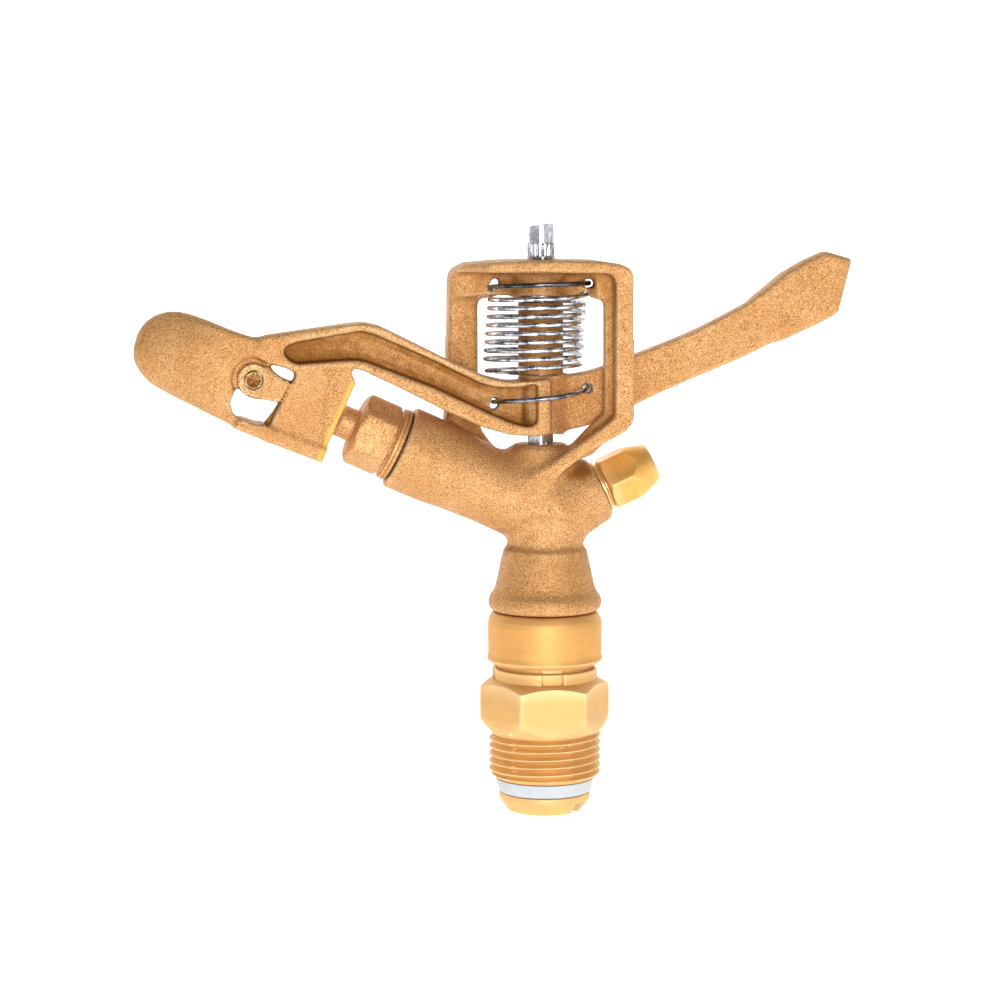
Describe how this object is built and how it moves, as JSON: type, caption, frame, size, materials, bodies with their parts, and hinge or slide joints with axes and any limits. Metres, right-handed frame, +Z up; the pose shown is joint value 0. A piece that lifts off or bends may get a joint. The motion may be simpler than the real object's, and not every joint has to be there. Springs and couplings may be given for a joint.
{
  "type": "impact sprinkler",
  "caption": "Cast bronze impact sprinkler: rotating body with range nozzle and spreader outlet, spring-returned drive arm, male pipe thread inlet.",
  "frame": {"origin": "on the riser's axis at the foot of the rotating nipple, below the male inlet thread", "axes": "+Z up along the riser, the range nozzle points along -X and up, the arm's counterweight tail points along +X"},
  "size_m": [0.1679, 0.0274, 0.1388],
  "materials": {
    "cast_bronze": "sand cast, satin",
    "turned_brass": "machined, bright",
    "steel": "bright drawn",
    "white_plastic": "satin",
    "rubber": "matte"
  },
  "bodies": {
    "inlet": {"bearing_nut": "turned_brass", "spring_seat_washer": "steel", "bearing_spring": "steel"},
    "bearing_float": {"spring_cover": "turned_brass", "sand_seal": "rubber", "spring_top_washer": "steel", "lower_seal_washer": "white_plastic", "wear_washer": "turned_brass"},
    "sprinkler_body": {"body_casting": "cast_bronze", "nipple_tube": "turned_brass", "fulcrum_pin": "steel", "arm_thrust_washer": "steel", "range_nozzle": "cast_bronze", "range_gasket": "rubber", "stream_straightener": "turned_brass", "spreader_washer": "turned_brass", "spreader_nozzle": "turned_brass", "arm_spring": "steel"},
    "drive_arm": {"arm_casting": "cast_bronze", "arm_sleeve": "cast_bronze", "arm_bush_lower": "turned_brass", "arm_bush_upper": "turned_brass", "vane_pin": "turned_brass"}
  },
  "joints": [
    {"name": "bearing_travel", "type": "slide", "parent": "inlet", "child": "bearing_float", "axis": [0, 0, -1], "range_m": [0, 0.0007], "stiffness_N_per_m": 8000, "springref_m": -0.002, "deforming": ["bearing_spring"]},
    {"name": "body_rotation", "type": "hinge", "parent": "bearing_float", "child": "sprinkler_body", "pos_m": [0, 0, 0.04], "axis": [0, 0, 1], "continuous": true},
    {"name": "arm_swing", "type": "hinge", "parent": "sprinkler_body", "child": "drive_arm", "pos_m": [-0.0011, 0, 0.0965], "axis": [0, 0, 1], "range_deg": [0, 100], "stiffness_Nm_per_rad": 0.02, "springref_deg": -34.38, "deforming": ["arm_spring"]}
  ]
}
